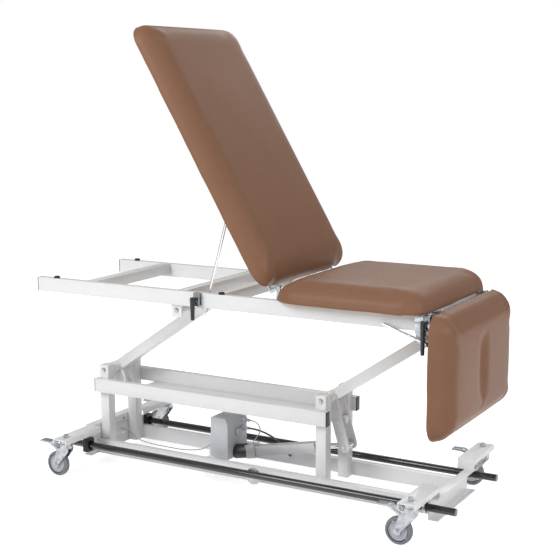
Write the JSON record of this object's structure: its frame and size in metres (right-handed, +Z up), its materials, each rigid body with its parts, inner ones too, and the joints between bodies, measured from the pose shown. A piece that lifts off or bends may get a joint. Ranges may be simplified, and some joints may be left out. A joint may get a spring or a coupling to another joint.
{
  "type": "medical exam table",
  "caption": "Height-adjustable exam table with tilting back, fixed seat and hanging drop cushion on a parallelogram lift with swivel casters and foot bars.",
  "frame": {"origin": "on the floor under the middle of the table", "axes": "+X along the table towards the drop cushion, +Y away from the release grips, +Z up"},
  "size_m": [1.608, 0.701, 1.6113],
  "materials": {
    "white_enamel": "satin powder coat",
    "zinc_plate": "bright zinc plate",
    "chrome_rod": "polished",
    "black_plastic": "fine texture",
    "grey_housing": "fine texture",
    "aluminium_tube": "clear anodised",
    "lead_sheath": "smooth sheath",
    "dark_sheath": "smooth sheath",
    "black_rubber": "moulded",
    "plywood": "birch ply, black lining below",
    "upholstery": "soft vinyl with fine grain",
    "black_enamel": "gloss powder coat",
    "grey_tyre": "grey rubber tread on a pale nylon hub"
  },
  "bodies": {
    "base": {"base_rails": "white_enamel", "end_channels": "white_enamel", "caster_arms": "white_enamel", "posts": "white_enamel", "mid_rails": "white_enamel", "mid_shelf": "white_enamel", "rail_caps": "black_plastic", "base_hardware": "zinc_plate", "actuator_mount": "white_enamel", "bar_brackets": "black_plastic", "bar_switch": "zinc_plate", "control_box": "grey_housing", "box_plugs": "grey_housing", "motor_housing": "black_plastic", "actuator_tube": "aluminium_tube", "lead_motor": "lead_sheath", "lead_switch": "dark_sheath", "lead_limit": "lead_sheath"},
    "push_rod": {"actuator_rod": "chrome_rod"},
    "lift_right": {"arm_right": "white_enamel", "shafts_right": "white_enamel", "levers_right": "white_enamel"},
    "lift_left": {"arm_left": "white_enamel", "shafts_left": "white_enamel", "levers_left": "white_enamel"},
    "tie": {"tie_bar": "white_enamel"},
    "top": {"side_rails": "white_enamel", "cross_tubes": "white_enamel", "upper_caps": "black_plastic", "pivot_brackets": "white_enamel", "upper_bolts": "zinc_plate", "bumpers": "black_rubber", "seat_board": "plywood", "seat_pad": "upholstery", "hinge_ears": "zinc_plate", "lock_brackets": "zinc_plate"},
    "back": {"back_board": "plywood", "back_pad": "upholstery", "back_straps": "zinc_plate"},
    "back_lock": {"back_rod": "chrome_rod"},
    "back_release": {"back_handle": "black_plastic"},
    "drop": {"drop_board": "plywood", "drop_pad": "upholstery", "drop_straps": "zinc_plate"},
    "drop_lock": {"drop_rod": "chrome_rod"},
    "drop_release": {"drop_handle": "black_plastic"},
    "foot_bar_front": {"bar_front": "black_enamel"},
    "foot_bar_rear": {"bar_rear": "black_enamel"},
    "caster_fl": {"fork_fl": "zinc_plate"},
    "caster_wheel_fl": {"wheel_fl": "grey_tyre"},
    "brake_fl": {"pedal_fl": "zinc_plate"},
    "caster_rl": {"fork_rl": "zinc_plate"},
    "caster_wheel_rl": {"wheel_rl": "grey_tyre"},
    "brake_rl": {"pedal_rl": "zinc_plate"},
    "caster_fr": {"fork_fr": "zinc_plate"},
    "caster_wheel_fr": {"wheel_fr": "grey_tyre"},
    "brake_fr": {"pedal_fr": "zinc_plate"},
    "caster_rr": {"fork_rr": "zinc_plate"},
    "caster_wheel_rr": {"wheel_rr": "grey_tyre"},
    "brake_rr": {"pedal_rr": "zinc_plate"}
  },
  "joints": [
    {"name": "lift", "type": "hinge", "parent": "base", "child": "lift_right", "pos_m": [0.2749, 0, 0.35], "axis": [0, -1, 0], "range_deg": [-35, 26]},
    {"name": "lift_left_turn", "type": "hinge", "parent": "base", "child": "lift_left", "pos_m": [-0.6331, 0, 0.35], "axis": [0, -1, 0], "range_deg": [-35, 26]},
    {"name": "top_level", "type": "hinge", "parent": "lift_right", "child": "top", "pos_m": [0.706, 0, 0.64078], "axis": [0, -1, 0], "range_deg": [-26, 35]},
    {"name": "tie_level", "type": "hinge", "parent": "lift_right", "child": "tie", "pos_m": [0.29975, 0, 0.26871], "axis": [0, -1, 0], "range_deg": [-26, 35]},
    {"name": "push_rod_slide", "type": "slide", "parent": "base", "child": "push_rod", "axis": [0.98, 0, 0.199], "range_m": [-0.1037, 0.0771]},
    {"name": "back_tilt", "type": "hinge", "parent": "top", "child": "back", "pos_m": [0.186, 0, 0.751], "axis": [0, 1, 0], "range_deg": [-59.5, 2.5]},
    {"name": "back_lock_turn", "type": "hinge", "parent": "back", "child": "back_lock", "pos_m": [-0.00503, 0, 0.98665], "axis": [0, 1, 0], "range_deg": [-1.25, 29.75]},
    {"name": "back_release_pull", "type": "hinge", "parent": "top", "child": "back_release", "pos_m": [-0.108, 0, 0.69], "axis": [0, 1, 0], "range_deg": [0, 18], "stiffness_Nm_per_rad": 2, "springref_deg": -8.59},
    {"name": "drop_tilt", "type": "hinge", "parent": "top", "child": "drop", "pos_m": [0.738, 0, 0.714], "axis": [0, -1, 0], "range_deg": [0, 90]},
    {"name": "drop_lock_turn", "type": "hinge", "parent": "drop", "child": "drop_lock", "pos_m": [0.726, 0, 0.624], "axis": [0, -1, 0], "range_deg": [-45, 0]},
    {"name": "drop_release_pull", "type": "hinge", "parent": "top", "child": "drop_release", "pos_m": [0.716, 0, 0.69], "axis": [0, 1, 0], "range_deg": [0, 18], "stiffness_Nm_per_rad": 2, "springref_deg": -8.59},
    {"name": "foot_bar_front_press", "type": "slide", "parent": "base", "child": "foot_bar_front", "axis": [0, 0, 1], "range_m": [-0.004, 0.004], "stiffness_N_per_m": 4000, "springref_m": 0.0043},
    {"name": "foot_bar_rear_press", "type": "slide", "parent": "base", "child": "foot_bar_rear", "axis": [0, 0, 1], "range_m": [-0.004, 0.004], "stiffness_N_per_m": 4000, "springref_m": 0.0043},
    {"name": "swivel_fl", "type": "hinge", "parent": "base", "child": "caster_fl", "pos_m": [-0.6461, -0.3135, 0.115], "axis": [0, 0, 1], "continuous": true},
    {"name": "roll_fl", "type": "hinge", "parent": "caster_fl", "child": "caster_wheel_fl", "pos_m": [-0.6841, -0.3135, 0.045], "axis": [0, 1, 0], "continuous": true},
    {"name": "brake_fl_press", "type": "hinge", "parent": "caster_fl", "child": "brake_fl", "pos_m": [-0.6711, -0.3135, 0.097], "axis": [0, -1, 0], "range_deg": [0, 10]},
    {"name": "swivel_rl", "type": "hinge", "parent": "base", "child": "caster_rl", "pos_m": [-0.6461, 0.3135, 0.115], "axis": [0, 0, 1], "continuous": true},
    {"name": "roll_rl", "type": "hinge", "parent": "caster_rl", "child": "caster_wheel_rl", "pos_m": [-0.6841, 0.3135, 0.045], "axis": [0, 1, 0], "continuous": true},
    {"name": "brake_rl_press", "type": "hinge", "parent": "caster_rl", "child": "brake_rl", "pos_m": [-0.6711, 0.3135, 0.097], "axis": [0, -1, 0], "range_deg": [0, 10]},
    {"name": "swivel_fr", "type": "hinge", "parent": "base", "child": "caster_fr", "pos_m": [0.6959, -0.3135, 0.115], "axis": [0, 0, 1], "continuous": true},
    {"name": "roll_fr", "type": "hinge", "parent": "caster_fr", "child": "caster_wheel_fr", "pos_m": [0.6579, -0.3135, 0.045], "axis": [0, 1, 0], "continuous": true},
    {"name": "brake_fr_press", "type": "hinge", "parent": "caster_fr", "child": "brake_fr", "pos_m": [0.6709, -0.3135, 0.097], "axis": [0, -1, 0], "range_deg": [0, 10]},
    {"name": "swivel_rr", "type": "hinge", "parent": "base", "child": "caster_rr", "pos_m": [0.6959, 0.3135, 0.115], "axis": [0, 0, 1], "continuous": true},
    {"name": "roll_rr", "type": "hinge", "parent": "caster_rr", "child": "caster_wheel_rr", "pos_m": [0.6579, 0.3135, 0.045], "axis": [0, 1, 0], "continuous": true},
    {"name": "brake_rr_press", "type": "hinge", "parent": "caster_rr", "child": "brake_rr", "pos_m": [0.6709, 0.3135, 0.097], "axis": [0, -1, 0], "range_deg": [0, 10]}
  ],
  "couplings": [
    {"joint": "lift_left_turn", "follows": "lift", "ratio": 1},
    {"joint": "top_level", "follows": "lift", "ratio": -1},
    {"joint": "tie_level", "follows": "lift", "ratio": -1},
    {"joint": "push_rod_slide", "follows": "lift", "m_per_rad": 0.1696},
    {"joint": "back_lock_turn", "follows": "back_tilt", "ratio": -0.5},
    {"joint": "drop_lock_turn", "follows": "drop_tilt", "ratio": -0.5}
  ]
}
